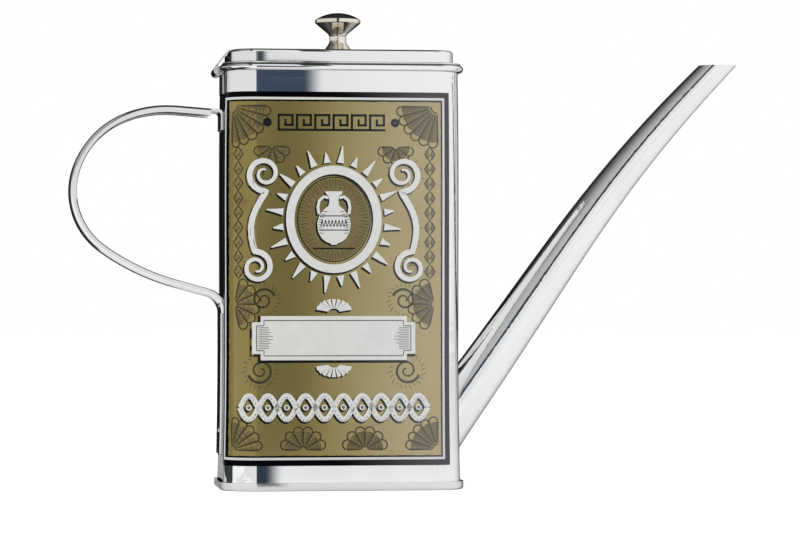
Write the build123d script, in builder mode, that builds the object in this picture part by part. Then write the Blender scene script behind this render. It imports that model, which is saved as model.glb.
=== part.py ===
from build123d import *
from math import acos, atan2, cos, hypot, radians, sin
import os

os.makedirs("parts", exist_ok=True)

# An olive oil tin of thin stainless sheet: a waisted body with rounded corners,
# a pan folded on below, a hinged lid with a knob, a channel handle and a long
# tapered spout. Millimetres, +Z up, +X towards the spout, -Y to the label.
# The origin is the centre of the base, on the surface the tin stands on.

# Sheet and fits
sheet = 0.5
strap_sheet = 1.0
lip_sheet = 0.9
spout_sheet = 0.6
hinge_sheet = 0.45
film = 0.12
seat_gap = 0.05
film_gap = 0.03
lid_gap = 0.2
mouth_gap = 0.3
fold_gap = 0.2
swing_gap = 0.3
pin_gap = 0.05
overrun = 20.0

# Body
waist_width = 83.9
foot_spread = 1.4
neck_draw = 0.7
body_depth = 48.4
corner_radius = 10.5
low_waist_height = 38.0
high_waist_drop = 44.1
rim_height = 151.2
neck_band = 5.1
rim_curl_radius = 1.25
curl_turn = 295.0

# Base pan
bead_reach = 1.05
bead_height = 2.9
bead_round = 0.9

# Spout
spout_wall_height = 26.4
spout_angle = 55.0
spout_tip_angle = 44.9
spout_straight = 72.8
spout_tip_height = 153.3
spout_root_bore = 17.3
spout_tip_bore = 8.7

# Handle
strap_width = 16.0
channel_depth = 2.75
channel_round = 1.4
lip_round = 0.4
handle_drop = 15.5
tab_height = 7.5
tab_bend = 2.2
top_angle = 175.5
top_run = 14.7
channel_start = 2.4
loop_radii = (41.5, 31.7, 26.6, 83.9)
loop_turns = (25.8, 49.0, 74.0, 20.1)
foot_bend = 6.3
tail_foot_height = 12.3

# Lid
lid_rise = 5.0
lid_inset = 0.9
lid_round = 1.0
flange_reach = 2.3
flange_sheet = 0.4
skirt_depth = 3.8
skirt_rise = 3.0

# Hinge
hinge_width = 16.0
moving_knuckle_width = 7.0
knuckle_gap = 0.25
pin_radius = 1.2
hinge_drop = 1.8
body_leaf_height = 8.3
lid_leaf_length = 10.0
leaf_gap = 0.2
pin_proud = 0.3
pin_dome = 0.2

# Knob
knob_height = 14.6
knob_radius = 8.2
knob_dome_height = 2.5
knob_band_height = 1.5
knob_edge = 0.3
knob_neck_radius = 3.05
knob_neck_round = 2.0
knob_flare_height = 6.6
knob_skirt_height = 3.9
knob_skirt_radius = 5.3
knob_foot_radius = 6.1
knob_foot_edge = 0.6
screw_radius = 2.0
screw_reach = 8.0
screw_head_radius = 3.6
screw_head_height = 1.6
washer_radius = 4.6
washer_thickness = 0.6

# Label
label_bottom = 8.9
label_drop = 10.1
label_tail_gap = 0.6
label_right_wrap = 34.0

# Heights and faces that several pieces share
foot_width = waist_width + foot_spread
neck_width = waist_width - neck_draw
neck_height = rim_height - neck_band
high_waist_height = rim_height - high_waist_drop
handle_top_height = rim_height - handle_drop
label_top = rim_height - label_drop
width_over_depth = waist_width - body_depth
corner_x = waist_width / 2 - corner_radius
corner_y = body_depth / 2 - corner_radius
curl_height = rim_height - rim_curl_radius
mouth_width = neck_width - 2 * sheet
skirt_width = mouth_width - 2 * mouth_gap
lid_width = skirt_width - 2 * lid_inset
flange_bottom = rim_height + lid_gap
lid_height = flange_bottom + lid_rise
lid_underside = lid_height - sheet
knuckle_radius = pin_radius + pin_gap + hinge_sheet
knuckle_bore = pin_radius + pin_gap
hinge_x = -(neck_width / 2 + swing_gap + knuckle_radius)
hinge_z = rim_height - hinge_drop
notch_half = hinge_width / 2 + 2 * knuckle_gap


def outline(width_here, grow=0.0, mode=Mode.ADD):
    """The rounded rectangle of the tin where it is this wide, grown by an offset."""
    RectangleRounded(
        width_here + 2 * grow,
        width_here - width_over_depth + 2 * grow,
        corner_radius + (width_here - waist_width) / 2 + grow,
        mode=mode,
    )


def body_form(grow=0.0):
    """The waisted form of the tin from its foot to its neck, as one solid."""
    with BuildPart() as form:
        stations = (
            (sheet, foot_width),
            (low_waist_height, waist_width),
            (high_waist_height, waist_width),
            (neck_height, neck_width),
        )
        for height, width_here in stations:
            with BuildSketch(Plane.XY.offset(height)):
                outline(width_here, grow)
        loft()
    return form.part


def ring_path(width_here, height):
    """The closed outline of the tin at one height, from the middle of the front."""
    half_x = width_here / 2
    half_y = (width_here - width_over_depth) / 2
    radius = half_x - corner_x
    with BuildLine(Plane.XY.offset(height)) as path:
        Line((0, -half_y), (corner_x, -half_y))
        CenterArc((corner_x, -corner_y), radius, -90, 90)
        Line((half_x, -corner_y), (half_x, corner_y))
        CenterArc((corner_x, corner_y), radius, 0, 90)
        Line((corner_x, half_y), (-corner_x, half_y))
        CenterArc((-corner_x, corner_y), radius, 90, 90)
        Line((-half_x, corner_y), (-half_x, -corner_y))
        CenterArc((-corner_x, -corner_y), radius, 180, 90)
        Line((-corner_x, -half_y), (0, -half_y))
    return path.wires()[0]


def ring_plane(width_here, height):
    """Across the outline at the middle of the front, x outwards and y up."""
    front = -(width_here - width_over_depth) / 2
    return Plane(origin=(0, front, height), x_dir=(0, -1, 0), z_dir=(-1, 0, 0))


whole_form = body_form()
seat_form = body_form(seat_gap)

# Spout path, from inside the body to past the level tip
spout_root = (neck_width + waist_width) / 4
along = Vector(cos(radians(spout_angle)), 0, sin(radians(spout_angle)))
root_point = Vector(spout_root, 0, spout_wall_height)
bend_point = root_point + spout_straight * along
spout_bend_radius = (spout_tip_height - bend_point.Z) / (
    cos(radians(spout_tip_angle)) - cos(radians(spout_angle))
)
with BuildLine(Plane.XZ) as spout_path:
    root_line = Line(root_point - overrun * along, bend_point)
    bend_arc = JernArc(bend_point, along, spout_bend_radius, spout_tip_angle - spout_angle)
    tip_line = Line(bend_arc @ 1, (bend_arc @ 1) + overrun * (bend_arc % 1))
spout_length = spout_straight + bend_arc.length


def spout_form(skin):
    """The tapered tube's outside, or with no skin its bore, as one solid."""
    stations = [(root_line, 0, -overrun), (root_line, 1 / 2, (spout_straight - overrun) / 2)]
    for share in (0, 1 / 3, 2 / 3, 1):
        stations.append((bend_arc, share, spout_straight + share * bend_arc.length))
    stations.append((tip_line, 1, spout_length + overrun))
    with BuildPart() as form:
        for line, share, run in stations:
            bore = spout_root_bore + (spout_tip_bore - spout_root_bore) * run / spout_length
            with BuildSketch(Plane(origin=line @ share, x_dir=(0, 1, 0), z_dir=line % share)):
                Circle(bore / 2 + skin)
        loft()
    return form.part


spout_bore = spout_form(0)

# Body sheet, with its neck rolled outwards into the rim and the spout's hole
with BuildPart() as body_shell:
    add(whole_form)
    add(body_form(-sheet), mode=Mode.SUBTRACT)
    with BuildSketch(ring_plane(neck_width, curl_height)):
        with BuildLine():
            curl_x = rim_curl_radius - sheet
            outer_curl = CenterArc((curl_x, 0), rim_curl_radius, 180, -curl_turn)
            inner_curl = CenterArc((curl_x, 0), curl_x, 180, -curl_turn)
            Line(outer_curl @ 1, inner_curl @ 1)
            Polyline(
                inner_curl @ 0,
                (0, neck_height - curl_height),
                (-sheet, neck_height - curl_height),
                outer_curl @ 0,
            )
        make_face()
    sweep(path=ring_path(neck_width, curl_height))
    with BuildSketch(Plane.XY.offset(neck_height + sheet)):
        with Locations((-(neck_width + overrun) / 2, 0)):
            Rectangle(overrun, 2 * notch_half)
    extrude(amount=overrun, mode=Mode.SUBTRACT)
    add(spout_bore, mode=Mode.SUBTRACT)
body_shell.part.label = "body_shell"
export_step(body_shell.part, "parts/body_shell.step")

# Base pan: a recessed floor, folded down inside the wall and up outside it into the bead
with BuildPart() as base_pan:
    fold_out = -(sheet + fold_gap)
    fold_in = fold_out - sheet
    with BuildSketch(ring_plane(foot_width, 0)) as base_section:
        with BuildLine():
            Polyline(
                (fold_in, bead_height),
                (fold_in, 0),
                (bead_reach, 0),
                (bead_reach, bead_height),
                (seat_gap, bead_height),
                (seat_gap, sheet),
                (fold_out, sheet),
                (fold_out, bead_height),
                close=True,
            )
        make_face()
        outer_corners = base_section.vertices().group_by(Axis.Y)[0]
        fillet(outer_corners, bead_round)
    sweep(path=ring_path(foot_width, 0))
    with BuildSketch(Plane.XY.offset(bead_height - sheet)):
        outline(foot_width, fold_in + sheet / 2)
    extrude(amount=sheet)
base_pan.part.label = "base_pan"
export_step(base_pan.part, "parts/base_pan.step")

# Spout: a tapered tube butted to the wall round the hole, cut level at its tip
with BuildPart() as spout:
    add(spout_form(spout_sheet))
    add(spout_bore, mode=Mode.SUBTRACT)
    add(seat_form, mode=Mode.SUBTRACT)
    split(bisect_by=Plane.XY.offset(spout_tip_height), keep=Keep.BOTTOM)
    split(bisect_by=Plane.YZ.offset(corner_x), keep=Keep.TOP)
spout.part.label = "spout"
export_step(spout.part, "parts/spout.step")

# Handle path: up the tab, round its bend, along the top, round the loop to the wall.
# The strap's metal lies on the left of the path, which is the side of the fingers.
tab_x = -(neck_width / 2 + leaf_gap)
tail_x = -(waist_width / 2 + seat_gap + strap_sheet)
tab_bend_point = Vector(tab_x, 0, handle_top_height - tab_bend)
with BuildLine(Plane.XZ) as strap_top:
    tab_line = Line(tab_bend_point - Vector(0, 0, tab_height - tab_bend), tab_bend_point)
    tab_arc = JernArc(tab_bend_point, (0, 1), tab_bend, top_angle - 90)
    Line(tab_arc @ 1, (tab_arc @ 1) + channel_start * (tab_arc % 1))
with BuildLine(Plane.XZ) as strap_loop:
    loop_start = (tab_arc @ 1) + channel_start * (tab_arc % 1)
    last = Line(loop_start, loop_start + (top_run - channel_start) * (tab_arc % 1))
    for radius, turn in zip(loop_radii, loop_turns):
        last = JernArc(last @ 1, last % 1, radius, turn)
    fall = top_angle + sum(loop_turns) - 270
    foot_reach = foot_bend * (1 - cos(radians(fall)))
    foot_run = (tail_x - foot_reach - (last @ 1).X) / sin(radians(fall))
    last = Line(last @ 1, (last @ 1) + foot_run * (last % 1))
    foot_arc = JernArc(last @ 1, last % 1, foot_bend, -fall)
tail_top = (foot_arc @ 1).Z

with BuildPart() as handle:
    with BuildSketch(Plane(origin=tab_line @ 0, x_dir=(0, 1, 0), z_dir=tab_line % 0)):
        with Locations((0, strap_sheet / 2)):
            Rectangle(strap_width, strap_sheet)
    sweep(path=strap_top.wires()[0])
    across_loop = Plane(origin=loop_start, x_dir=(0, 1, 0), z_dir=tab_arc % 1)
    half = strap_width / 2
    inside = half - lip_sheet
    fold = channel_round - lip_sheet
    rounds = (channel_round, channel_round, lip_round, lip_round, fold, fold, lip_round, lip_round)
    with BuildSketch(across_loop):
        with BuildLine():
            FilletPolyline(
                (-half, 0),
                (half, 0),
                (half, channel_depth),
                (inside, channel_depth),
                (inside, strap_sheet),
                (-inside, strap_sheet),
                (-inside, channel_depth),
                (-half, channel_depth),
                radius=rounds,
                close=True,
            )
        make_face()
    sweep(path=strap_loop.wires()[0])
    add(seat_form, mode=Mode.SUBTRACT)
with BuildPart() as handle_tail:
    add(body_form(seat_gap + strap_sheet))
    add(seat_form, mode=Mode.SUBTRACT)
    with BuildSketch(Plane.XY.offset(tail_foot_height)):
        with Locations((-(waist_width / 2 + overrun / 2 - strap_sheet), 0)):
            Rectangle(overrun, strap_width)
    extrude(amount=tail_top - tail_foot_height, mode=Mode.INTERSECT)
with BuildPart() as handle_strap:
    add(handle.part)
    add(handle_tail.part)
handle_strap.part.label = "handle_strap"
export_step(handle_strap.part, "parts/handle_strap.step")

# Hinge leaves: each a strip rolled into knuckles round the pin
hinge_centre = (hinge_x, hinge_z)
lid_edge = lid_width / 2
tab_corner = (-(lid_edge + seat_gap), lid_height + hinge_sheet)
corner_reach = hypot(tab_corner[0] - hinge_x, tab_corner[1] - hinge_z)
touch_angle = atan2(tab_corner[1] - hinge_z, tab_corner[0] - hinge_x) + acos(
    knuckle_radius / corner_reach
)
touch = (cos(touch_angle), sin(touch_angle))


def off_hinge(distance):
    """A point this far from the pin's centre towards where the lid's leaf leaves the roll."""
    return (hinge_x + distance * touch[0], hinge_z + distance * touch[1])


def round_hinge(radius, width_here, middle=0.0):
    """A cylinder about the pin's axis, this wide, centred this far from the middle."""
    with BuildPart() as roll:
        with BuildSketch(Plane.XZ.offset(-middle)):
            with Locations(hinge_centre):
                Circle(radius)
        extrude(amount=width_here / 2, both=True)
    return roll.part


knuckle_clear = knuckle_radius + swing_gap

with BuildPart() as hinge_lid_leaf:
    with BuildSketch(Plane.XZ):
        with BuildLine():
            Polyline(
                (lid_leaf_length - lid_edge, lid_height + hinge_sheet),
                tab_corner,
                off_hinge(knuckle_radius),
                off_hinge(knuckle_radius - hinge_sheet),
                (tab_corner[0] - hinge_sheet * touch[0], tab_corner[1] - hinge_sheet * touch[1]),
                (lid_round - lid_edge, lid_height),
                (lid_leaf_length - lid_edge, lid_height),
                close=True,
            )
        make_face()
    extrude(amount=hinge_width / 2, both=True)
    for side in (-1, 1):
        side_middle = side * (moving_knuckle_width + overrun) / 2
        add(round_hinge(knuckle_clear, overrun, side_middle), mode=Mode.SUBTRACT)
    add(round_hinge(knuckle_radius, moving_knuckle_width))
    add(round_hinge(knuckle_bore, hinge_width), mode=Mode.SUBTRACT)
hinge_lid_leaf.part.label = "hinge_lid_leaf"
export_step(hinge_lid_leaf.part, "parts/hinge_lid_leaf.step")

with BuildPart() as hinge_body_leaf:
    with BuildSketch(Plane.XZ):
        with Locations((tab_x - hinge_sheet / 2, hinge_z - body_leaf_height / 2)):
            Rectangle(hinge_sheet, body_leaf_height)
    extrude(amount=hinge_width / 2, both=True)
    add(round_hinge(knuckle_radius, hinge_width))
    moving_slot = moving_knuckle_width + 2 * knuckle_gap
    add(round_hinge(knuckle_clear, moving_slot), mode=Mode.SUBTRACT)
    add(round_hinge(knuckle_bore, hinge_width + overrun), mode=Mode.SUBTRACT)
hinge_body_leaf.part.label = "hinge_body_leaf"
export_step(hinge_body_leaf.part, "parts/hinge_body_leaf.step")

with BuildPart() as hinge_pin:
    add(round_hinge(pin_radius, hinge_width + 2 * pin_proud))
    pin_ends = hinge_pin.edges().filter_by(GeomType.CIRCLE)
    fillet(pin_ends, pin_dome)
hinge_pin.part.label = "hinge_pin"
export_step(hinge_pin.part, "parts/hinge_pin.step")

# Lid cap: a shallow pan upside down, with a narrow flange that rests on the rim
with BuildPart() as lid_cap:
    with BuildSketch(Plane.XY.offset(flange_bottom)):
        outline(lid_width)
    extrude(amount=lid_height - flange_bottom)
    fillet(lid_cap.faces().sort_by(Axis.Z)[-1].edges(), lid_round)
    with BuildSketch(Plane.XY.offset(flange_bottom)):
        outline(lid_width, flange_reach)
    extrude(amount=flange_sheet)
    with BuildSketch(Plane.XY.offset(flange_bottom)):
        outline(lid_width, -sheet)
    extrude(amount=lid_underside - flange_bottom, mode=Mode.SUBTRACT)
    with BuildSketch(Plane.XY.offset(flange_bottom)):
        with Locations((-(lid_edge + overrun / 2), 0)):
            Rectangle(overrun, 2 * notch_half)
    extrude(amount=flange_sheet, mode=Mode.SUBTRACT)
    with BuildSketch(Plane.XY.offset(lid_underside)):
        Circle(screw_radius + seat_gap)
    extrude(amount=sheet, mode=Mode.SUBTRACT)
lid_cap.part.label = "lid_cap"
export_step(lid_cap.part, "parts/lid_cap.step")

# Lid skirt: a ring inside the cap, stepped out below it to guide the lid into the mouth
with BuildPart() as lid_skirt:
    skirt_step = flange_bottom - seat_gap
    skirt_bottom = flange_bottom - skirt_depth
    with BuildSketch(Plane.XY.offset(skirt_bottom)):
        outline(skirt_width)
    extrude(amount=skirt_step - skirt_bottom)
    with BuildSketch(Plane.XY.offset(skirt_step)):
        outline(lid_width, -(sheet + seat_gap))
    extrude(amount=skirt_rise)
    with BuildSketch(Plane.XY.offset(skirt_bottom)):
        outline(skirt_width, -sheet)
    extrude(amount=skirt_step - sheet - skirt_bottom, mode=Mode.SUBTRACT)
    with BuildSketch(Plane.XY.offset(skirt_bottom)):
        outline(lid_width, -(2 * sheet + seat_gap))
    extrude(amount=skirt_depth + skirt_rise, mode=Mode.SUBTRACT)
lid_skirt.part.label = "lid_skirt"
export_step(lid_skirt.part, "parts/lid_skirt.step")

# Knob: turned, with a domed disc on a waisted stem, screwed from under the lid
band_bottom = knob_height - knob_dome_height - knob_band_height
band_top = knob_height - knob_dome_height
dome_radius = (knob_radius**2 + knob_dome_height**2) / (2 * knob_dome_height)
with BuildPart() as knob:
    with BuildSketch(Plane(origin=(0, 0, lid_height), x_dir=(1, 0, 0), z_dir=(0, -1, 0))):
        with BuildLine():
            Polyline(
                (0, knob_height),
                (0, 0),
                (knob_foot_radius, 0),
                (knob_foot_radius, knob_foot_edge),
                (knob_skirt_radius, knob_foot_edge),
            )
            FilletPolyline(
                (knob_skirt_radius, knob_foot_edge),
                (knob_neck_radius, knob_skirt_height),
                (knob_neck_radius, knob_flare_height),
                (knob_radius - knob_edge, band_bottom),
                radius=knob_neck_round,
            )
            Polyline(
                (knob_radius - knob_edge, band_bottom),
                (knob_radius, band_bottom + knob_edge),
                (knob_radius, band_top),
            )
            RadiusArc((knob_radius, band_top), (0, knob_height), -dome_radius)
        make_face()
    revolve(axis=Axis.Z)
    with BuildSketch(Plane.XY.offset(lid_height)):
        Circle(screw_radius + seat_gap)
    extrude(amount=screw_reach + seat_gap, mode=Mode.SUBTRACT)
knob.part.label = "knob"
export_step(knob.part, "parts/knob.step")

with BuildPart() as knob_washer:
    with BuildSketch(Plane.XY.offset(lid_underside)):
        Circle(washer_radius)
        Circle(screw_radius + seat_gap, mode=Mode.SUBTRACT)
    extrude(amount=-washer_thickness)
knob_washer.part.label = "knob_washer"
export_step(knob_washer.part, "parts/knob_washer.step")

with BuildPart() as knob_screw:
    with BuildSketch(Plane.XY.offset(lid_underside - washer_thickness)):
        Circle(screw_head_radius)
    extrude(amount=-screw_head_height)
    fillet(knob_screw.edges().sort_by(Axis.Z)[0], screw_head_height / 3)
    with BuildSketch(Plane.XY.offset(lid_underside - washer_thickness)):
        Circle(screw_radius)
    extrude(amount=washer_thickness + sheet + screw_reach)
knob_screw.part.label = "knob_screw"
export_step(knob_screw.part, "parts/knob_screw.step")

# Label: a thin printed film on the front, from the handle's tail round both front corners
with BuildPart() as label_film:
    add(body_form(film_gap + film))
    add(body_form(film_gap), mode=Mode.SUBTRACT)
    left_edge = -(strap_width / 2 + label_tail_gap)
    right_wrap = radians(label_right_wrap)
    with BuildSketch(Plane.XY.offset(label_bottom)):
        with BuildLine():
            Polyline(
                (0, left_edge),
                (-corner_x - overrun, left_edge),
                (-corner_x - overrun, -body_depth),
                (corner_x + overrun, -body_depth),
                (corner_x + overrun * sin(right_wrap), -corner_y - overrun * cos(right_wrap)),
                (corner_x, -corner_y),
                close=True,
            )
        make_face()
    extrude(amount=label_top - label_bottom, mode=Mode.INTERSECT)
label_film.part.label = "label_film"
export_step(label_film.part, "parts/label_film.step")
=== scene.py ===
from math import ceil, cos, hypot, pi, radians, sin

import bpy
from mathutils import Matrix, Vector
from mathutils.bvhtree import BVHTree


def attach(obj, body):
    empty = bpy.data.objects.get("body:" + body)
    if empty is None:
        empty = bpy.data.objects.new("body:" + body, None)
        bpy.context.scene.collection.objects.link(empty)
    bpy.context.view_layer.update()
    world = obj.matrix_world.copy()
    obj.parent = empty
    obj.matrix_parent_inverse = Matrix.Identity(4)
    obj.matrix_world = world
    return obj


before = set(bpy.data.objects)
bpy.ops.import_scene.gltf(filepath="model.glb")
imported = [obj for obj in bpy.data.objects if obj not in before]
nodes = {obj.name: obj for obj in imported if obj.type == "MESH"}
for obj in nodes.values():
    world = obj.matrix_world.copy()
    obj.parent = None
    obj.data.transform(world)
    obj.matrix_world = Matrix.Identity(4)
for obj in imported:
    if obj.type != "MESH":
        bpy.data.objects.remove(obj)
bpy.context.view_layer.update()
bpy.ops.object.select_all(action="DESELECT")
mm = 0.001
print("frame loaded:", len(nodes), "nodes")


# Camera: level, from the front and a little to the left, with a small upward shift
cameraView = {
    "place": (-129.07 * mm, -1184.42 * mm, 67.47 * mm),
    "yaw": 7.3,
    "lens": 148.5,
    "shiftUp": 0.0419,
    "clip": (10 * mm, 100),
}


def makeCamera(v):
    turn = (radians(90), 0, radians(-v["yaw"]))
    bpy.ops.object.camera_add(location=v["place"], rotation=turn)
    camera = bpy.context.object
    camera.name = "photoCamera"
    camera.data.lens = v["lens"]
    camera.data.shift_y = v["shiftUp"]
    camera.data.clip_start, camera.data.clip_end = v["clip"]
    bpy.context.scene.camera = camera


makeCamera(cameraView)
bpy.context.scene.view_settings.view_transform = "Standard"


# Small helpers for node trees
def addNode(tree, kind, inputs=(), **settings):
    node = tree.nodes.new(kind)
    for name, value in settings.items():
        setattr(node, name, value)
    for name, value in dict(inputs).items():
        if isinstance(value, bpy.types.NodeSocket):
            tree.links.new(value, node.inputs[name])
        else:
            node.inputs[name].default_value = value
    return node


def calc(tree, operation, a, b=0.0, c=0.0):
    return addNode(tree, "ShaderNodeMath", {0: a, 1: b, 2: c}, operation=operation).outputs[0]


# 0 below low and 1 above high, smooth between them; with low above high it runs the other way
def ease(tree, value, low, high):
    inputs = {"Value": value, "From Min": low, "From Max": high}
    return addNode(tree, "ShaderNodeMapRange", inputs, interpolation_type="SMOOTHSTEP").outputs["Result"]


# Several values multiplied together
def product(tree, first, *others):
    for other in others:
        first = calc(tree, "MULTIPLY", first, other)
    return first


def blendColour(tree, share, a, b):
    node = addNode(tree, "ShaderNodeMix", data_type="RGBA")
    for socket, value in (("Factor_Float", share), ("A_Color", a), ("B_Color", b)):
        target = next(s for s in node.inputs if s.identifier == socket)
        if isinstance(value, bpy.types.NodeSocket):
            tree.links.new(value, target)
        else:
            target.default_value = value
    return next(s for s in node.outputs if s.identifier == "Result_Color")


def grey(level):
    return (level, level, level, 1)


def solid(colour, times=1):
    return (*(min(1, c * times) for c in colour), 1)


# Object coordinates of the piece, and a cloudy or grainy value on them
def objectPlace(tree):
    return addNode(tree, "ShaderNodeTexCoord").outputs["Object"]


def noise(tree, scale, detail):
    inputs = {"Vector": objectPlace(tree), "Scale": scale, "Detail": detail}
    return addNode(tree, "ShaderNodeTexNoise", inputs).outputs["Fac"]


def newGroup(name, inputs, outputs):
    group = bpy.data.node_groups.new(name, "ShaderNodeTree")
    for way, sockets in (("INPUT", inputs), ("OUTPUT", outputs)):
        for socket, kind in sockets.items():
            group.interface.new_socket(socket, in_out=way, socket_type="NodeSocket" + kind)
    return group


def newMaterial(name):
    material = bpy.data.materials.new(name)
    material.use_nodes = True
    tree = material.node_tree
    return material, tree, next(n for n in tree.nodes if n.type == "BSDF_PRINCIPLED")


# A material whose own surface shader takes the place of the usual one
def stageMaterial(name, surface):
    material, tree = newMaterial(name)[:2]
    tree.nodes.clear()
    addNode(tree, "ShaderNodeOutputMaterial", {"Surface": surface(tree)})
    return material


# Studio, as reflections see it: white, a little brighter to the right, dark overhead but not
# far right, grey high up on the left behind a thin dark line, and a grey line on the right
studio = {
    "light": 0.86,
    "seen": 1.0,
    "whiteLeft": 0.84,
    "whiteRight": 0.965,
    "whiteTurn": (4.5, 8.0),
    "darkTurn": (52, 64),
    "darkHeight": (0.10, 0.17),
    "darkLevel": 0.045,
    "rightFade": (0.62, 0.38),
    "leftStart": (0.29, 0.31),
    "leftHeight": (0.12, 0.17),
    "leftEnd": (0.62, 0.40),
    "leftBehind": 0.13,
    "leftFront": 0.52,
    "leftTurn": (-0.45, 0.85),
    "lineStart": (0.15, 0.19),
    "lineEnd": (0.32, 0.29),
    "lineFront": (0.0, 0.3),
    "lineLevel": 0.05,
    "rightLine": (118, 2.2, 1.5),
    "rightLevel": 0.42,
}


def makeWorld(v):
    world = bpy.data.worlds.new("studioWorld")
    world.use_nodes = True
    bpy.context.scene.world = world
    tree = world.node_tree
    tree.nodes.clear()
    direction = addNode(tree, "ShaderNodeTexCoord").outputs["Generated"]
    part = addNode(tree, "ShaderNodeSeparateXYZ", {0: direction}).outputs
    toFront = calc(tree, "MULTIPLY", part["Y"], -1)
    toLeft = calc(tree, "MULTIPLY", part["X"], -1)
    azimuth = calc(tree, "DEGREES", calc(tree, "ARCTAN2", part["X"], toFront))
    turn = calc(tree, "DEGREES", calc(tree, "ARCTAN2", part["Z"], toFront))

    rightward = ease(tree, azimuth, *v["whiteTurn"])
    level = blendColour(tree, rightward, grey(v["whiteLeft"]), grey(v["whiteRight"]))

    middle, half, soft = v["rightLine"]
    away = calc(tree, "ABSOLUTE", calc(tree, "SUBTRACT", azimuth, middle))
    level = blendColour(tree, ease(tree, away, half + soft, half), level, grey(v["rightLevel"]))

    high = ease(tree, part["Z"], *v["darkHeight"])
    overhead = product(tree, ease(tree, turn, *v["darkTurn"]), high, ease(tree, part["X"], *v["rightFade"]))
    level = blendColour(tree, overhead, level, grey(v["darkLevel"]))

    raised = ease(tree, part["Z"], *v["leftHeight"])
    left = product(tree, raised, ease(tree, toLeft, *v["leftStart"]), ease(tree, part["Y"], *v["leftEnd"]))
    frontward = ease(tree, toFront, *v["leftTurn"])
    leftLevel = blendColour(tree, frontward, grey(v["leftBehind"]), grey(v["leftFront"]))
    level = blendColour(tree, left, level, leftLevel)

    line = product(tree, ease(tree, toLeft, *v["lineStart"]), ease(tree, toLeft, *v["lineEnd"]))
    line = product(tree, line, raised, ease(tree, toFront, *v["lineFront"]))
    level = blendColour(tree, line, level, grey(v["lineLevel"]))

    path = addNode(tree, "ShaderNodeLightPath").outputs
    shown = blendColour(tree, path["Is Glossy Ray"], grey(v["light"]), level)
    shown = blendColour(tree, path["Is Camera Ray"], shown, grey(v["seen"]))
    background = addNode(tree, "ShaderNodeBackground", {"Color": shown, "Strength": 1.0})
    addNode(tree, "ShaderNodeOutputWorld", {"Surface": background.outputs[0]})


makeWorld(studio)


# Floor: plain and pale; its own glow shows to the camera and in reflections, so that it stays white
floorLook = {"size": 12, "colour": 0.86, "glow": 0.43, "shine": 0.10}


def makeFloor(v):
    bpy.ops.mesh.primitive_plane_add(size=v["size"], location=(0, 0, 0))
    floor = bpy.context.object
    floor.name = "studioFloor"

    def surface(tree):
        path = addNode(tree, "ShaderNodeLightPath").outputs
        shown = calc(tree, "MULTIPLY", path["Is Camera Ray"], v["glow"])
        shine = calc(tree, "MULTIPLY", path["Is Glossy Ray"], v["shine"])
        glow = addNode(tree, "ShaderNodeEmission", {"Strength": calc(tree, "ADD", shown, shine)})
        matt = addNode(tree, "ShaderNodeBsdfDiffuse", {"Color": grey(v["colour"])})
        return addNode(tree, "ShaderNodeAddShader", {0: matt.outputs[0], 1: glow.outputs[0]}).outputs[0]

    floor.data.materials.append(stageMaterial("paleFloor", surface))


makeFloor(floorLook)


# Dark cards that only reflections see, in millimetres: in front of the label and the knob,
# on the floor, inside the handle's loop, behind on both sides and on the left.
# A card lies flat, faces the front or faces sideways, by the span it hasn't got.
cards = {
    "frontCard": {
        "across": (-16.5, 14), "high": (14, 166.8), "at": -224,
        "soft": (1.5, 9), "colour": (0.045, 0.07, 0.115),
    },
    "frontCardLow": {
        "across": (-16.5, -3), "high": (1, 14), "at": -224,
        "soft": (1.5, 8), "colour": (0.03, 0.045, 0.07),
    },
    "frontCardTop": {
        "across": (-15.5, -9.1), "high": (166.8, 185), "at": -224,
        "soft": (2, 3), "colour": (0.05, 0.06, 0.09),
    },
    "floorCard": {
        "across": (-31, -17), "deep": (-230, -40), "at": 1,
        "soft": (2, 7), "colour": (0.02, 0.03, 0.045),
    },
    "insideCard": {
        "across": (-93, -46), "deep": (-70, 40), "at": 104,
        "soft": (3, 3), "colour": (0.04, 0.04, 0.04),
    },
    "behindCard": {
        "across": (-230, -44), "high": (-5, 290), "at": 270,
        "soft": (4, 4), "colour": (0.016, 0.018, 0.018),
    },
    "behindRight": {
        "across": (74, 260), "high": (-5, 290), "at": 270,
        "soft": (4, 60), "colour": (0.06, 0.06, 0.06),
    },
    "loopCard": {
        "deep": (-22, 275), "high": (0, 141), "at": -150,
        "soft": (6, 6), "colour": (0.05, 0.055, 0.055),
    },
    "knobCard": {
        "across": (-12.5, 0.5), "high": (160.5, 215), "at": -60,
        "soft": (2, 2), "colour": (0.03, 0.03, 0.025),
    },
}


# A card fades to nothing at its two side edges
def cardMaterial(name, v):
    def surface(tree):
        part = addNode(tree, "ShaderNodeSeparateXYZ", {0: objectPlace(tree)}).outputs
        side = part["X"] if "across" in v else part["Y"]
        left, right = v["across"] if "across" in v else v["deep"]
        fadeLeft, fadeRight = v["soft"]
        shown = product(
            tree,
            ease(tree, side, left * mm, (left + fadeLeft) * mm),
            ease(tree, side, right * mm, (right - fadeRight) * mm),
        )
        dark = addNode(tree, "ShaderNodeEmission", {"Color": solid(v["colour"]), "Strength": 1.0})
        clear = addNode(tree, "ShaderNodeBsdfTransparent")
        mixed = {0: shown, 1: clear.outputs[0], 2: dark.outputs[0]}
        return addNode(tree, "ShaderNodeMixShader", mixed).outputs[0]

    return stageMaterial(name, surface)


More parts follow.
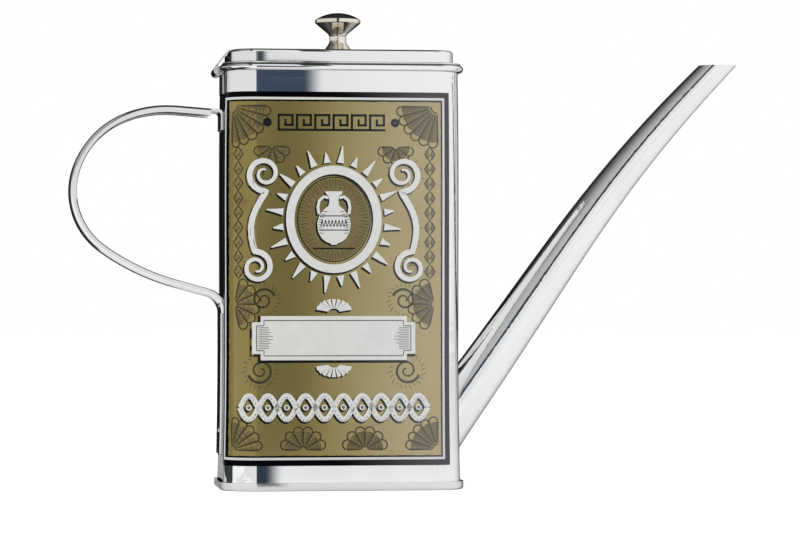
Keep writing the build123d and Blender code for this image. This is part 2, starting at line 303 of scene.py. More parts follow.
def makeCard(name, v):
    spans = [v.get(way, (v["at"], v["at"])) for way in ("across", "deep", "high")]
    place = [(start + end) / 2 * mm for start, end in spans]
    across, deep, high = [(end - start) * mm for start, end in spans]
    if "high" not in v:
        turn, scale = (0, 0, 0), (across, deep, 1)
    elif "across" in v:
        turn, scale = (radians(90), 0, 0), (across, high, 1)
    else:
        turn, scale = (0, radians(90), 0), (high, deep, 1)
    bpy.ops.mesh.primitive_plane_add(size=1, location=place, rotation=turn)
    card = bpy.context.object
    card.name = name
    card.scale = scale
    bpy.ops.object.transform_apply(location=True, rotation=True, scale=True)
    card.data.materials.append(cardMaterial(name, v))
    card.visible_camera = False
    card.visible_diffuse = False
    card.visible_transmission = False
    card.visible_shadow = False


for name, look in cards.items():
    makeCard(name, look)


# One soft lamp high on the left lights the print and the floor
lampLook = {"place": (-0.9, -0.9, 1.5), "aim": (0, 0, 0.06), "size": 1.2, "power": 9}


def makeLamp(v):
    place = Vector(v["place"])
    turn = (Vector(v["aim"]) - place).to_track_quat("-Z", "Y").to_euler()
    bpy.ops.object.light_add(type="AREA", location=place, rotation=turn)
    lamp = bpy.context.object
    lamp.name = "softLamp"
    lamp.data.shape = "DISK"
    lamp.data.size = v["size"]
    lamp.data.energy = v["power"]
    lamp.visible_glossy = False
    lamp.visible_camera = False


makeLamp(lampLook)
print("studio ready")


# Polished sheet steel: small changes of gloss and tint, and a faint grain
sheetSurface = {"cloud": (60, 4), "fine": (2600, 2), "grainDepth": 0.02 * mm, "tint": (0.95, 1.05)}


def sheetSurfaceGroup(v):
    inputs = {"Rough": "Float", "Uneven": "Float", "Darker": "Color", "Lighter": "Color"}
    outputs = {"Gloss": "Float", "Tint": "Color", "Grain": "Float"}
    group = newGroup("sheetSurface", inputs, outputs)
    given = addNode(group, "NodeGroupInput").outputs
    cloud = noise(group, *v["cloud"])
    smoothest = calc(group, "MULTIPLY_ADD", given["Uneven"], -0.5, given["Rough"])
    gloss = calc(group, "MULTIPLY_ADD", cloud, given["Uneven"], smoothest)
    tint = blendColour(group, cloud, given["Darker"], given["Lighter"])
    addNode(group, "NodeGroupOutput", {"Gloss": gloss, "Tint": tint, "Grain": noise(group, *v["fine"])})
    return group


sheetGroup = sheetSurfaceGroup(sheetSurface)

steelLooks = {
    "bodySteel": {"colour": (0.86, 0.865, 0.86), "rough": 0.03, "uneven": 0.03, "grain": 0.02},
    # The foot's steel is painted darker than the body's: painted shade for the darker reflection of its bead
    # near the floor
    "panSteelShaded": {"colour": (0.79, 0.795, 0.79), "rough": 0.14, "uneven": 0.06, "grain": 0.03},
    "lidSteel": {"colour": (0.84, 0.845, 0.84), "rough": 0.03, "uneven": 0.03, "grain": 0.03},
    "spoutSteel": {"colour": (0.87, 0.875, 0.865), "rough": 0.035, "uneven": 0.03, "grain": 0.02},
    "handleSteel": {"colour": (0.82, 0.825, 0.82), "rough": 0.12, "uneven": 0.08, "grain": 0.03},
    "hingeSteel": {"colour": (0.74, 0.745, 0.74), "rough": 0.18, "uneven": 0.12, "grain": 0.05},
    "pinSteel": {"colour": (0.66, 0.66, 0.655), "rough": 0.22, "uneven": 0.10, "grain": 0.05},
    "knobNickel": {"colour": (0.80, 0.755, 0.66), "rough": 0.10, "uneven": 0.05, "grain": 0.02},
    "screwSteel": {"colour": (0.62, 0.62, 0.61), "rough": 0.28, "uneven": 0.12, "grain": 0.05},
}
steelEdge = 0.25  # how bright steel stays where it is seen along its surface


def steelMaterial(name, v):
    material, tree, shader = newMaterial(name)
    shader.inputs["Metallic"].default_value = 1.0
    shader.inputs["Specular Tint"].default_value = grey(steelEdge)
    darker, lighter = [solid(v["colour"], times) for times in sheetSurface["tint"]]
    given = {"Rough": v["rough"], "Uneven": v["uneven"], "Darker": darker, "Lighter": lighter}
    sheet = addNode(tree, "ShaderNodeGroup", node_tree=sheetGroup)
    for socket, value in given.items():
        sheet.inputs[socket].default_value = value
    tree.links.new(sheet.outputs["Gloss"], shader.inputs["Roughness"])
    tree.links.new(sheet.outputs["Tint"], shader.inputs["Base Color"])
    depth = {"Strength": v["grain"], "Distance": sheetSurface["grainDepth"], "Height": sheet.outputs["Grain"]}
    tree.links.new(addNode(tree, "ShaderNodeBump", depth).outputs["Normal"], shader.inputs["Normal"])
    return material


steels = {name: steelMaterial(name, look) for name, look in steelLooks.items()}

nodeMaterials = {
    "body_shell": "bodySteel",
    "base_pan": "panSteelShaded",
    "spout": "spoutSteel",
    "handle_strap": "handleSteel",
    "hinge_body_leaf": "hingeSteel",
    "hinge_lid_leaf": "hingeSteel",
    "hinge_pin": "pinSteel",
    "lid_cap": "lidSteel",
    "lid_skirt": "lidSteel",
    "knob": "knobNickel",
    "knob_washer": "screwSteel",
    "knob_screw": "screwSteel",
}
for node, name in nodeMaterials.items():
    nodes[node].data.materials.clear()
    nodes[node].data.materials.append(steels[name])
print("steel ready")


def addPiece(name, points, faces, material):
    mesh = bpy.data.meshes.new(name)
    mesh.from_pydata(points, [], faces)
    mesh.materials.append(material)
    piece = bpy.data.objects.new(name, mesh)
    bpy.context.scene.collection.objects.link(piece)
    return piece


# The rolled edge of the lid's flange, in millimetres: a thin round bead that closes the gap
# to the rim, open at the hinge
lidRoll = {
    "cornerX": 31.45, "cornerY": 13.7, "radius": 10.85, "height": 151.53,
    "bead": 0.30, "notch": 8.6, "sides": 12, "steps": 24,
}


def makeLidRoll(v):
    left = -v["cornerX"] - v["radius"]
    line = [(left, -v["notch"], -1, 0)]
    for start, side, depth in ((180, -1, -1), (270, 1, -1), (0, 1, 1), (90, -1, 1)):
        for k in range(v["steps"] + 1):
            turn = radians(start + 90 * k / v["steps"])
            x = side * v["cornerX"] + v["radius"] * cos(turn)
            y = depth * v["cornerY"] + v["radius"] * sin(turn)
            line.append((x, y, cos(turn), sin(turn)))
    line.append((left, v["notch"], -1, 0))
    sides = v["sides"]
    points, faces = [], []
    for x, y, u, w in line:
        for k in range(sides):
            turn = 2 * pi * k / sides
            out = v["bead"] * cos(turn)
            rise = v["height"] + v["bead"] * sin(turn)
            points.append(((x + u * out) * mm, (y + w * out) * mm, rise * mm))
    for i in range(len(line) - 1):
        for k in range(sides):
            a, b = i * sides + k, i * sides + (k + 1) % sides
            faces.append((a, a + sides, b + sides, b))
    last = (len(line) - 1) * sides
    faces.append(tuple(range(sides)))
    faces.append(tuple(last + k for k in reversed(range(sides))))
    roll = addPiece("lidRolledEdge", points, faces, steels["lidSteel"])
    for face in roll.data.polygons:
        face.use_smooth = len(face.vertices) == 4
    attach(roll, "lid")


makeLidRoll(lidRoll)


# Small flattened weld beads on the outside of the handle's tail and tab, in millimetres
welds = (
    {"place": (-43.35, -6.4, 66.0), "size": (0.55, 1.7, 1.1)},
    {"place": (-43.45, -6.2, 21.4), "size": (0.50, 1.9, 1.2)},
    {"place": (-42.75, -6.0, 128.2), "size": (0.45, 1.8, 0.9)},
)
for count, v in enumerate(welds):
    place = [c * mm for c in v["place"]]
    bpy.ops.mesh.primitive_uv_sphere_add(segments=24, ring_count=12, radius=mm, location=place)
    weld = bpy.context.object
    weld.name = "weldBead%d" % (count + 1)
    weld.scale = v["size"]
    bpy.ops.object.transform_apply(location=True, rotation=True, scale=True)
    bpy.ops.object.shade_smooth()
    weld.data.materials.append(steels["hingeSteel"])
    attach(weld, "tin")
print("rolled edge and welds ready")


# Label film: places on it are arc length along the front and height, in millimetres,
# with a painted sheen: all that is printed is paled towards the right, as a painted reflection
filmForm = {"cornerX": 31.45, "cornerY": 13.7, "radius": 10.65, "least": 0.0001}
paintedSheen = {"most": 0.105, "turn": (-4, 40), "colour": (0.88, 0.90, 0.98)}


def labelPlaceGroup(v, sheen):
    group = newGroup("labelPlace", {}, {"Along": "Float", "Height": "Float", "Sheen": "Float"})
    part = addNode(group, "ShaderNodeSeparateXYZ", {0: objectPlace(group)}).outputs
    x, y, z = [calc(group, "MULTIPLY", part[axis], 1 / mm) for axis in "XYZ"]
    side = calc(group, "ABSOLUTE", x)
    flat = calc(group, "MINIMUM", side, v["cornerX"])
    out = calc(group, "MAXIMUM", calc(group, "SUBTRACT", side, v["cornerX"]), 0)
    back = calc(group, "MAXIMUM", calc(group, "SUBTRACT", -v["cornerY"], y), v["least"])
    bend = calc(group, "MULTIPLY", calc(group, "ARCTAN2", out, back), v["radius"])
    wall = calc(group, "MAXIMUM", calc(group, "ADD", y, v["cornerY"]), 0)
    reach = calc(group, "ADD", calc(group, "ADD", flat, bend), wall)
    along = calc(group, "MULTIPLY", reach, calc(group, "SIGN", x))
    # Sheen is the share of painted reflection, growing towards the right
    shown = calc(group, "MULTIPLY", ease(group, along, *sheen["turn"]), sheen["most"])
    addNode(group, "NodeGroupOutput", {"Along": along, "Height": z, "Sheen": shown})
    return group


labelPlace = labelPlaceGroup(filmForm, paintedSheen)

# The film's own print: black, white and black border lines round an olive-gold field
filmPrint = {
    "left": -46.3, "right": 35.74, "low": 10.98, "high": 139.14, "leftScale": 0.66,
    "innerLeft": -45.0, "innerScale": 0.28,
    "white": 0.86, "line": 1.5, "soft": 0.07, "uneven": 0.5, "edge": (420, 3),
    "black": (0.0015, 0.0015, 0.003), "pale": (0.66, 0.66, 0.65),
    "field": (0.29, 0.23, 0.070), "fieldRightSheen": (0.47, 0.40, 0.235), "fieldSheenTurn": (-16, 33),
    "cloud": (90, 3), "cloudShare": 0.16, "cloudLevel": 0.02,
    "fieldMetal": 0.55, "cornerMetal": 0.22, "cornerTurn": (-41, -36),
    "rough": 0.16, "fieldShine": 0.4, "inkShine": 0.02,
}


def filmMaterial(v):
    material, tree, shader = newMaterial("printedFilm")
    at = addNode(tree, "ShaderNodeGroup", node_tree=labelPlace).outputs

    def fromEdge(start, scale):
        return calc(tree, "MULTIPLY", calc(tree, "SUBTRACT", at["Along"], start), scale)

    left = fromEdge(v["left"], v["leftScale"])
    innerLeft = calc(tree, "ADD", fromEdge(v["innerLeft"], v["innerScale"]), v["white"])
    left = calc(tree, "MINIMUM", left, innerLeft)
    right = calc(tree, "SUBTRACT", v["right"], at["Along"])
    low = calc(tree, "SUBTRACT", at["Height"], v["low"])
    high = calc(tree, "SUBTRACT", v["high"], at["Height"])
    inside = calc(tree, "MINIMUM", calc(tree, "MINIMUM", left, right), calc(tree, "MINIMUM", low, high))
    uneven = calc(tree, "MULTIPLY_ADD", noise(tree, *v["edge"]), v["uneven"], -v["uneven"] / 2)
    inner = calc(tree, "ADD", inside, uneven)

    soft, white, black = v["soft"], v["white"], solid(v["black"])
    colour = blendColour(tree, ease(tree, inside, -soft, soft), black, solid(v["pale"]))
    colour = blendColour(tree, ease(tree, inside, white - soft, white + soft), colour, black)
    # Painted reflection: the border lines are paled towards the right
    colour = blendColour(tree, at["Sheen"], colour, solid(paintedSheen["colour"]))

    # Painted reflection: the olive-gold field turns paler towards the right
    turned = ease(tree, at["Along"], *v["fieldSheenTurn"])
    field = blendColour(tree, turned, solid(v["field"]), solid(v["fieldRightSheen"]))
    cloud = calc(tree, "MULTIPLY", noise(tree, *v["cloud"]), v["cloudShare"])
    field = blendColour(tree, cloud, field, grey(v["cloudLevel"]))
    onField = ease(tree, inner, v["line"] - soft, v["line"] + soft)
    tree.links.new(blendColour(tree, onField, colour, field), shader.inputs["Base Color"])

    awayFromCorner = ease(tree, at["Along"], *v["cornerTurn"])
    more = v["fieldMetal"] - v["cornerMetal"]
    metal = calc(tree, "MULTIPLY_ADD", awayFromCorner, more, v["cornerMetal"])
    tree.links.new(calc(tree, "MULTIPLY", onField, metal), shader.inputs["Metallic"])
    shine = calc(tree, "MULTIPLY_ADD", onField, v["fieldShine"] - v["inkShine"], v["inkShine"])
    tree.links.new(shine, shader.inputs["Specular IOR Level"])
    shader.inputs["Roughness"].default_value = v["rough"]
    return material


nodes["label_film"].data.materials.clear()
nodes["label_film"].data.materials.append(filmMaterial(filmPrint))
print("film ready")


# Printed figures: thin closed slabs on the film, each a grid of rows of (along, height) points.
# Each ink has its own height above the film, so that no two lie in one plane.
printLooks = {
    "printPale": {"colour": (0.68, 0.68, 0.665), "rough": 0.35, "shine": 0.3, "lift": 0.05},
    "printBlack": {"colour": (0.006, 0.006, 0.010), "rough": 0.3, "shine": 0.12, "lift": 0.025},
    "printShade": {"colour": (0.165, 0.128, 0.045), "rough": 0.3, "shine": 0.3, "lift": 0.004},
    "printBrown": {"colour": (0.045, 0.034, 0.016), "rough": 0.3, "shine": 0.2, "lift": 0.018},
    "printLines": {"colour": (0.020, 0.018, 0.020), "rough": 0.3, "shine": 0.12, "lift": 0.075},
}
inkCloud = {"noise": (300, 3), "tint": (0.93, 1.07)}
slab = {"thick": 0.012, "step": 1.0, "widest": 2.5, "shadeSteps": 24, "shadeWidest": 2, "seek": 5}
shadow = {"across": -0.45, "down": -0.5, "wider": 0.35}
middle = -4.0  # the design's middle line, along the film
prints = {name: ([], []) for name in printLooks}


def filmTree():
    film = nodes["label_film"]
    corners = [film.matrix_world @ v.co for v in film.data.vertices]
    return BVHTree.FromPolygons(corners, [tuple(p.vertices) for p in film.data.polygons])


filmSurface = filmTree()


# The point in space at a height above the film
def filmPoint(along, height, lift):
    side = -1 if along < 0 else 1
    flat = min(abs(along), filmForm["cornerX"])
    bend = min((abs(along) - flat) / filmForm["radius"], pi / 2)
    wall = abs(along) - flat - bend * filmForm["radius"]
    outward = Vector((side * sin(bend), -cos(bend), 0))
    across = side * (flat + filmForm["radius"] * sin(bend))
    deep = wall - filmForm["cornerY"] - filmForm["radius"] * cos(bend)
    start = Vector((across, deep, height)) * mm + outward * slab["seek"] * mm
    hit = filmSurface.ray_cast(start, -outward, 2 * slab["seek"] * mm)[0]
    return hit + outward * lift * mm


def addSlab(name, grid, ring=False):
    points, faces = prints[name]
    lift = printLooks[name]["lift"]
    (a, b), (c, d), (e, f) = grid[0][0], grid[1][0], grid[0][-1]
    if (c - a) * (f - b) - (d - b) * (e - a) < 0:
        grid = [row[::-1] for row in grid]
    count, wide = len(grid), len(grid[0])
    first = len(points)
    top = first + count * wide
    last = wide - 1
    for level in (lift, lift + slab["thick"]):
        points.extend(filmPoint(s, z, level) for row in grid for s, z in row)
    for i in range(count if ring else count - 1):
        here, after = i * wide, (i + 1) % count * wide
        for j in range(last):
            faces.append((top + here + j, top + after + j, top + after + j + 1, top + here + j + 1))
            faces.append((first + here + j + 1, first + after + j + 1, first + after + j, first + here + j))
        faces.append((first + here, first + after, top + after, top + here))
        faces.append((first + after + last, first + here + last, top + here + last, top + after + last))
    if not ring:
        end = (count - 1) * wide
        for j in range(last):
            faces.append((first + j + 1, first + j, top + j, top + j + 1))
            faces.append((first + end + j, first + end + j + 1, top + end + j + 1, top + end + j))


# Rows across a line; the width is one value or a function of the share of the way along it
def strokeGrid(line, width, ring):
    fine = []
    for (a, b), (c, d) in zip(line, line[1:] + line[:1] if ring else line[1:]):
        parts = max(1, ceil(hypot(c - a, d - b) / slab["step"]))
        fine += [(a + (c - a) * k / parts, b + (d - b) * k / parts) for k in range(parts)]
    if not ring:
        fine.append(line[-1])
    end = len(fine) - 1
    halves = [(width(i / end) if callable(width) else width) / 2 for i in range(end + 1)]
    columns = max(1, ceil(2 * max(halves) / slab["widest"]))
    grid = []
    for i, (s, z) in enumerate(fine):
        before = fine[i - 1] if i or ring else fine[i]
        after = fine[(i + 1) % len(fine)] if i < end or ring else fine[i]
        run = hypot(after[0] - before[0], after[1] - before[1])
        u, w = -(after[1] - before[1]) / run, (after[0] - before[0]) / run
        reaches = [halves[i] * (1 - 2 * k / columns) for k in range(columns + 1)]
        grid.append([(s + u * r, z + w * r) for r in reaches])
    return grid


def drawStroke(name, line, width, ring=False):
    addSlab(name, strokeGrid(line, width, ring), ring)


# A pale stroke with its black shadow below it on the left
def drawRaised(line, width, ring=False):
    dropped = [(s + shadow["across"], z + shadow["down"]) for s, z in line]
    wider = (lambda t: width(t) + shadow["wider"]) if callable(width) else width + shadow["wider"]
    drawStroke("printBlack", dropped, wider, ring)
    drawStroke("printPale", line, width, ring)


# A soft tone between two reaches from a middle point
def drawShade(s, z, inner, outer, start, end, narrow=1.0):
    steps = slab["shadeSteps"]
    turns = [radians(start + (end - start) * k / steps) for k in range(steps + 1)]
    columns = max(1, ceil((outer - inner) / slab["shadeWidest"]))
    reaches = [inner + (outer - inner) * j / columns for j in range(columns + 1)]
    addSlab("printShade", [[(s + narrow * r * cos(t), z + r * sin(t)) for r in reaches] for t in turns])


def arc(s, z, wide, high, start, end, count):
    turns = [radians(start + (end - start) * k / count) for k in range(count + 1)]
    return [(s + wide * cos(t), z + high * sin(t)) for t in turns]


# A closed oval of so many points, for strokes that run round as a ring
def oval(s, z, wide, high, count):
    return arc(s, z, wide, high, 0, 360 * (count - 1) / count, count - 1)


def spot(s, z, reach, turn):
    return (s + reach * cos(turn), z + reach * sin(turn))


def spiral(s, z, outer, inner, start, turn, count=40):
    return [
        spot(s, z, outer + (inner - outer) * k / count, radians(start + turn * k / count))
        for k in range(count + 1)
    ]


# A band of angular keys over the design, with a dot at each end
keyBand = {
    "left": middle - 19.6, "low": 127.6, "unit": 6.5, "count": 6, "line": 0.8, "endGap": 1.0,
    "key": ((0, 0), (0, 5.2), (4.9, 5.2), (4.9, 1.7), (2.4, 1.7), (2.4, 3.4)),
    "dotGap": (4, 2.4), "dotRise": 2.6, "dotRadius": 0.9, "dotLine": 1.3, "dotPoints": 16,
}


def drawKeyBand(v):
    left, low, half = v["left"], v["low"], v["line"] / 2
    right = left + v["count"] * v["unit"]
    for k in range(v["count"]):
        key = [(left + k * v["unit"] + s, low + z) for s, z in v["key"]]
        for (a, b), (c, d) in zip(key, key[1:]):
            u, w = (c - a) * half / hypot(c - a, d - b), (d - b) * half / hypot(c - a, d - b)
            drawStroke("printBlack", [(a - u, b - w), (c + u, d + w)], v["line"])
    drawStroke("printBlack", [(left - half, low), (right - v["endGap"], low)], v["line"])
    for side in (left - v["dotGap"][0], right + v["dotGap"][1]):
        dot = oval(side, low + v["dotRise"], v["dotRadius"], v["dotRadius"], v["dotPoints"])
        drawStroke("printBlack", dot, v["dotLine"], ring=True)


drawKeyBand(keyBand)


# A pale sun ring with long and short rays, and engraved ticks inside it
sun = {
    "place": (middle, 96), "wide": 15.5, "high": 17.5, "ring": 3.0, "points": 48,
    "rays": 24, "rayStart": 2.6, "rayEnd": (6.2, 8.6), "rayLine": (2.5, -2.1),
    "innerGap": 2.6, "innerLine": 0.35,
    "ticks": 72, "tickGap": 3.0, "tickReach": (2.3, 3.4), "tickLine": 0.22,
    "shade": (1.0, 14.4), "shadeTurn": 89.5, "shadeNarrow": 0.87,
}


def drawSun(v):
    s, z = v["place"]
    wide, high = v["wide"], v["high"]

    def ringPoint(grow, turn):
        return (s + (wide + grow) * cos(turn), z + (high + grow) * sin(turn))

    drawRaised(oval(s, z, wide, high, v["points"]), v["ring"], ring=True)
    full, change = v["rayLine"]
    for k in range(v["rays"]):
        turn = radians(360 * (k + 0.5) / v["rays"])
        start, end = ringPoint(v["rayStart"], turn), ringPoint(v["rayEnd"][k % 2], turn)
        halfway = ((start[0] + end[0]) / 2, (start[1] + end[1]) / 2)
        drawRaised([start, halfway, end], lambda t: full + change * t)
    inner = oval(s, z, wide - v["innerGap"], high - v["innerGap"], v["points"])
    drawStroke("printBlack", inner, v["innerLine"], ring=True)
    for k in range(v["ticks"]):
        turn = radians(360 * (k + 0.5) / v["ticks"])
        end = ringPoint(-v["tickGap"] - v["tickReach"][k % 2], turn)
        drawStroke("printBrown", [ringPoint(-v["tickGap"], turn), end], v["tickLine"])
    for start in (0, 90, 180, 270):
        drawShade(s, z, *v["shade"], start, start + v["shadeTurn"], v["shadeNarrow"])


drawSun(sun)


# A two-handled jar inside the sun: its outline is height and half width
jar = {
    "place": (middle, 87), "slices": 38,
    "outline": (
        (0, 0.9), (0.4, 1.0), (0.9, 2.6), (2.2, 4.3), (4.6, 5.6), (7.6, 6.0), (10.4, 5.2),
        (12.6, 3.4), (13.8, 1.9), (15.6, 1.6), (17.2, 1.8), (18.0, 2.9), (18.9, 3.0),
    ),
    "handle": ((1.9, 16.6), (3.6, 17.0), (5.2, 15.6), (5.7, 13.2), (5.3, 10.8)), "handleLine": 1.0,
    "hatch": {"count": 9, "low": 4.2, "step": 0.95, "inset": 0.3, "reach": 1.5, "drop": 0.15, "line": 0.2},
    "bands": (5.2, 10.2), "bandInset": 0.2, "bandLine": 0.35,
    "peaks": {"count": 8, "start": -4.2, "step": 1.2, "half": 0.5, "low": 6.4, "high": 8.8, "line": 0.28},
    "ground": (7.5, -1.3), "groundLine": 0.5,
}


def drawJar(v):
    s, z = v["place"]
    outline, hatch, peaks = v["outline"], v["hatch"], v["peaks"]
    tall = outline[-1][0]

    def halfWidth(h):
        for (h0, w0), (h1, w1) in zip(outline, outline[1:]):
            if h <= h1:
                return w0 + (w1 - w0) * (h - h0) / (h1 - h0)
        return outline[-1][1]

    body = [(s, z + tall * k / v["slices"]) for k in range(v["slices"] + 1)]
    drawRaised(body, lambda t: 2 * halfWidth(t * tall))
    for side in (-1, 1):
        drawRaised([(s + side * w, z + h) for w, h in v["handle"]], v["handleLine"])
        for k in range(hatch["count"]):
            low = hatch["low"] + hatch["step"] * k
            edge = halfWidth(low) - hatch["inset"]
            end = (s + side * (edge - hatch["reach"]), z + low - hatch["drop"])
            drawStroke("printLines", [(s + side * edge, z + low), end], hatch["line"])
    for low in v["bands"]:
        edge = halfWidth(low) - v["bandInset"]
        drawStroke("printLines", [(s - edge, z + low), (s + edge, z + low)], v["bandLine"])
    for k in range(peaks["count"]):
        across = s + peaks["start"] + peaks["step"] * k
        peak = (across, z + peaks["high"])
        drawStroke("printLines", [(across - peaks["half"], z + peaks["low"]), peak], peaks["line"])
        drawStroke("printLines", [peak, (across + peaks["half"], z + peaks["low"])], peaks["line"])
    half, low = v["ground"]
    drawStroke("printBlack", [(s - half, z + low), (s + half, z + low)], v["groundLine"])


drawJar(jar)


# Pale scrolls on both sides: two spirals joined by a bulging bridge, with ticks beside them
scrolls = {
    "upper": (24.5, 112, 6.2, 1.4, -95, 560), "lower": (27.5, 79, 5.6, 1.3, 85, 560),
    "bridge": (0.15, 0.3, 0.45, 0.6, 0.75, 0.88), "bulge": 3.2,
    "line": 2.1, "endLine": 0.5, "swell": 0.6,
    "tick": (1.2, 2.2), "tickLine": 0.2, "tickEnds": 6,
}


def drawScrolls(v):
    upper, lower = spiral(*v["upper"]), spiral(*v["lower"])
    (a, b), (c, d) = upper[0], lower[0]
    bridge = [(a + (c - a) * t + v["bulge"] * sin(pi * t), b + (d - b) * t) for t in v["bridge"]]
    near, far = v["tick"]
    more, ends = v["line"] - v["endLine"], v["tickEnds"]
    for side in (1, -1):
        line = [(middle + side * s, z) for s, z in upper[::-1] + bridge + lower]
        drawRaised(line, lambda t: v["endLine"] + more * sin(pi * t) ** v["swell"])
        for (s0, z0), (s1, z1) in zip(line[ends:-ends:2], line[ends + 1:1 - ends:2]):
            run = hypot(s1 - s0, z1 - z0)
            u, w = -(z1 - z0) / run, (s1 - s0) / run
            tick = [(s0 + u * near, z0 + w * near), (s0 + u * far, z0 + w * far)]
            drawStroke("printBrown", tick, v["tickLine"])


drawScrolls(scrolls)


# A bare plaque with notched corners and shaded ends, and a small fan over and under it
plaque = {
    "place": (middle, 54), "wide": 29, "high": 7.8, "notch": (3.0, 2.2), "wider": 0.45,
    "step": 2, "rows": 6,
    "frame": (1.6, 4.2), "frameShare": (0.56, 0.80), "frameLine": 0.28,
    "hatch": {"half": 6, "step": 0.62, "inset": 2.2, "reach": 5.6, "less": 0.35, "short": 3.6, "rise": 0.1},
    "hatchLine": 0.17,
    "fan": {"count": 9, "start": 20, "step": 17.5, "gap": 1.4, "near": (2.0, 1.2), "far": (6.5, 4.6)},
    "fanLine": (0.5, 1.0),
}


def drawPlaque(v):
    s, z = v["place"]
    wide, high, hatch, fan = v["wide"], v["high"], v["hatch"], v["fan"]
    notch, cut = v["notch"]
    short = high - cut
    bars = ((-wide, notch - wide, short), (notch - wide, wide - notch, high), (wide - notch, wide, short))
    drops = (("printBlack", v["wider"], shadow["across"], shadow["down"]), ("printPale", 0, 0, 0))
    for name, grow, across, down in drops:
        for left, right, half in bars:
            columns = max(2, ceil((right - left) / v["step"]))
            start, run = s + across + left - grow, right - left + 2 * grow
            rises = [z + down + (half + grow) * (1 - 2 * j / v["rows"]) for j in range(v["rows"] + 1)]
            addSlab(name, [[(start + run * k / columns, rise) for rise in rises] for k in range(columns + 1)])

    (edge, step), (low, tall) = v["frame"], v["frameShare"]
    corners = ((edge - wide, low), (step - wide, low), (step - wide, tall))
    corners += tuple((-a, b) for a, b in reversed(corners))
    for side in (-1, 1):
        line = [(s + a, z + side * b * high) for a, b in corners]
        drawStroke("printLines", line, v["frameLine"])
    for side in (-1, 1):
        end = s + side * (wide - edge)
        drawStroke("printLines", [(end, z - low * high), (end, z + low * high)], v["frameLine"])
        start = s + side * (wide - hatch["inset"])
        for k in range(2 * hatch["half"] + 1):
            away = abs(k - hatch["half"])
            rise = z + (k - hatch["half"]) * hatch["step"]
            reach = hatch["reach"] - hatch["less"] * away if k % 2 else hatch["short"]
            line = [(start, rise), (start - side * reach, rise + hatch["rise"])]
            drawStroke("printLines", line, v["hatchLine"])

    thin, more = v["fanLine"]
    for k in range(fan["count"]):
        turn = radians(fan["start"] + fan["step"] * k)
        for side in (-1, 1):
            base = z + side * (high + fan["gap"])
            line = [(s + a * cos(turn), base + side * b * sin(turn)) for a, b in (fan["near"], fan["far"])]
            drawRaised(line, lambda t: thin + more * t)


drawPlaque(plaque)


# Two crossing waves along the foot, with a pearl in each eye
waves = {
    "left": middle - 33.5, "right": middle + 33.5, "height": 29.5, "reach": 4.2, "period": 13.4,
    "step": 0.8, "line": 1.9, "hatch": ((-0.1, -0.75), (0.25, -0.2)), "hatchLine": 0.16, "hatchEnds": 2,
    "pearl": (0.55, 1.0, 12), "pearlEye": (0.35, 0.4, 8),
}


def drawWaves(v):
    left, run, z = v["left"], v["right"] - v["left"], v["height"]
    count = int(run / v["step"])
    for phase in (0, pi):
        turns = [2 * pi * run * k / count / v["period"] + phase for k in range(count + 1)]
        line = [(left + run * k / count, z + v["reach"] * sin(turn)) for k, turn in enumerate(turns)]
        drawRaised(line, v["line"])
        for s0, z0 in line[v["hatchEnds"]:-v["hatchEnds"]]:
            drawStroke("printLines", [(s0 + a, z0 + b) for a, b in v["hatch"]], v["hatchLine"])
    for k in range(int(2 * run / v["period"])):
        s = left + v["period"] / 4 + k * v["period"] / 2
        radius, width, points = v["pearl"]
        drawRaised(oval(s, z, radius, radius, points), width, ring=True)
        radius, width, points = v["pearlEye"]
        drawStroke("printLines", oval(s, z, radius, radius, points), width, ring=True)


drawWaves(waves)


# Engraved fans: place, reach, first and last turn, and number of ribs; the shares are of the reach
fans = (
    (-41, 136, 13, 0, -90, 6), (33, 136, 13, -180, -90, 6),
    (-41, 14.5, 10, 0, 90, 5), (33, 14.5, 10, 90, 180, 5),
    (-40, 66, 8, -75, 75, 6), (32, 66, 8, 105, 255, 6),
    (middle - 11, 14.6, 6.5, 0, 180, 6), (middle + 11, 14.6, 6.5, 0, 180, 6),
    (middle - 22, 121.6, 5, 180, 360, 5), (middle + 22, 121.6, 5, 180, 360, 5),
)
fanDetail = {
    "ribShares": (0.22, 0.6, 1), "ribLine": (0.35, 0.4), "lobeLine": 0.5, "lobeStep": 18,
    "hatchShare": 0.32, "hatchStep": 0.62, "hatchRoom": 0.75, "hatchLine": 0.22,
    "hatchTurn": (0.25, 1.0, 0.5), "hubShare": 0.18, "hubLine": 0.5, "hubSteps": 12,
    "shadeShares": (0.24, 0.98),
}


def drawFan(v, s, z, reach, start, end, ribs):
    half = radians((end - start) / ribs / 2)
    thin, more = v["ribLine"]
    hatchStart, hatchEnd, hatchMore = v["hatchTurn"]
    for k in range(ribs + 1):
        turn = radians(start + (end - start) * k / ribs)
        line = [spot(s, z, reach * share, turn) for share in v["ribShares"]]
        drawStroke("printBrown", line, lambda t: thin + more * t)
        if k == ribs:
            break
        centre = turn + half
        top = spot(s, z, reach, centre)
        lobeTurns = [centre + radians(a) for a in range(-90, 91, v["lobeStep"])]
        drawStroke("printBrown", [spot(*top, reach * abs(half), a) for a in lobeTurns], v["lobeLine"])
        for j in range(int(reach / v["hatchRoom"])):
            r = reach * v["hatchShare"] + v["hatchStep"] * j
            if r < reach:
                a, b = turn + half * hatchStart, turn + half * (hatchEnd + hatchMore * (j % 2))
                drawStroke("printBrown", [spot(s, z, r, a), spot(s, z, r, b)], v["hatchLine"])
    hub = reach * v["hubShare"]
    drawStroke("printBrown", arc(s, z, hub, hub, start, end, v["hubSteps"]), v["hubLine"])
    inner, outer = v["shadeShares"]
    drawShade(s, z, reach * inner, reach * outer, start, end)


for fan in fans:
    drawFan(fanDetail, *fan)


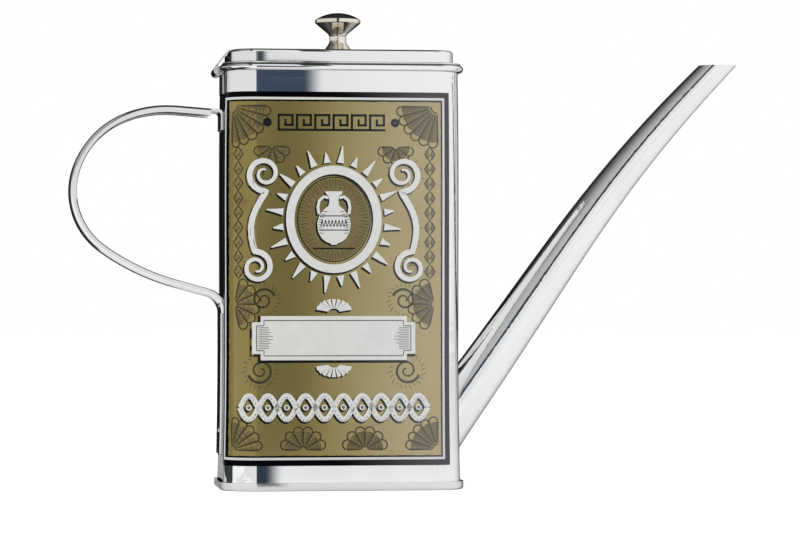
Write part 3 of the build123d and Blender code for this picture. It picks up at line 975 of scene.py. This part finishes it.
# Curls between the larger figures, each a tapering spiral with rays round it
curls = (
    (-30, 42.5, 4.6, 0.8, 200, 600), (22, 42.5, 4.6, 0.8, -20, -600),
    (-29, 67.5, 4.2, 0.7, 20, 560), (21, 67.5, 4.2, 0.7, 160, -560),
)
curlDetail = {
    "line": (0.95, -0.5), "rays": 22, "rayTurn": 16.4, "rayStart": 0.6, "rayEnd": (1.7, 2.3),
    "rayLean": 0.12, "rayLine": 0.2,
}


def drawCurl(v, curl):
    s, z, outer = curl[:3]
    full, change = v["line"]
    drawStroke("printBrown", spiral(*curl), lambda t: full + change * t)
    for k in range(v["rays"]):
        turn = radians(v["rayTurn"] * k)
        end = spot(s, z, outer + v["rayEnd"][k % 2], turn + v["rayLean"])
        drawStroke("printBrown", [spot(s, z, outer + v["rayStart"], turn), end], v["rayLine"])


for curl in curls:
    drawCurl(curlDetail, curl)


# Chains of shaded diamonds up both sides
diamonds = {
    "out": 34.2, "low": 77.5, "step": 5.2, "count": 9, "half": (1.9, 2.5), "line": 0.42,
    "shade": (0.3, 2.2), "shadeTurns": ((-60, 60), (120, 240)), "shadeNarrow": 0.8,
    "hatch": ((-1.0, -1.0), (-0.3, -1.3)), "hatchCount": 5, "hatchStep": (0.35, 0.3), "hatchLine": 0.18,
}


def drawDiamonds(v):
    wide, tall = v["half"]
    over, up = v["hatchStep"]
    for side in (-1, 1):
        for k in range(v["count"]):
            s, z = middle + side * v["out"], v["low"] + v["step"] * k
            for turns in v["shadeTurns"]:
                drawShade(s, z, *v["shade"], *turns, v["shadeNarrow"])
            corners = [(s - wide, z), (s, z + tall), (s + wide, z), (s, z - tall)]
            drawStroke("printBrown", corners, v["line"], ring=True)
            for j in range(v["hatchCount"]):
                line = [(s + a + over * j, z + b + up * j) for a, b in v["hatch"]]
                drawStroke("printBrown", line, v["hatchLine"])


drawDiamonds(diamonds)


def printMaterial(name, v):
    material, tree, shader = newMaterial(name)
    darker, lighter = [solid(v["colour"], times) for times in inkCloud["tint"]]
    colour = blendColour(tree, noise(tree, *inkCloud["noise"]), darker, lighter)
    at = addNode(tree, "ShaderNodeGroup", node_tree=labelPlace).outputs
    # Painted reflection: every ink is paled towards the right, as on the film
    colour = blendColour(tree, at["Sheen"], colour, solid(paintedSheen["colour"]))
    tree.links.new(colour, shader.inputs["Base Color"])
    shader.inputs["Roughness"].default_value = v["rough"]
    shader.inputs["Specular IOR Level"].default_value = v["shine"]
    return material


for name, look in printLooks.items():
    points, faces = prints[name]
    figure = addPiece(name, points, faces, printMaterial(name, look))
    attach(figure, "tin")
    print(name, len(faces), "faces")
print("label ready")
